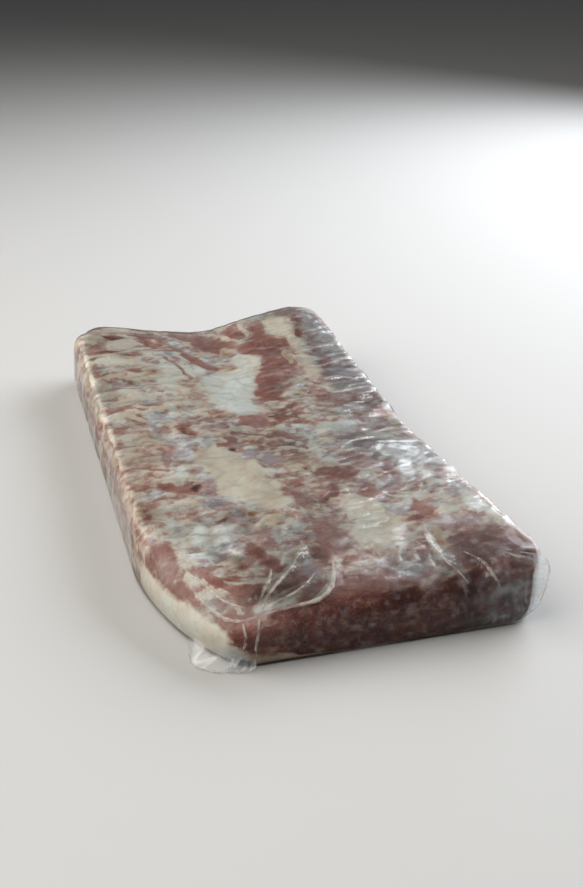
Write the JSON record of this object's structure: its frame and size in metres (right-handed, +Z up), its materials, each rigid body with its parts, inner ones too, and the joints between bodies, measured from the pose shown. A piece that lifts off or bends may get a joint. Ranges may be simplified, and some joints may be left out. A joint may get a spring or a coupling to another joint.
{
  "type": "pork belly slab",
  "caption": "Whole rectangular pork belly slab, rib side up, sealed in a clear shrunk bag with loose film at its corners.",
  "frame": {"origin": "middle of the slab's footprint, on the surface that it lies on", "axes": "+Z up out of the rib side, +Y along the slab from its thick cut face to the far end, +X across it, to the right as seen from the cut face"},
  "size_m": [0.2566, 0.536, 0.0588],
  "materials": {
    "packed_pork": "raw pork under tight clear film: marbled reddish brown lean and cream fat, wet gloss",
    "pork": "raw pork, lean and fat, wet",
    "film": "clear multilayer shrink film, high gloss"
  },
  "bodies": {
    "root": {"packed_belly_slab": "packed_pork"}
  },
  "joints": []
}
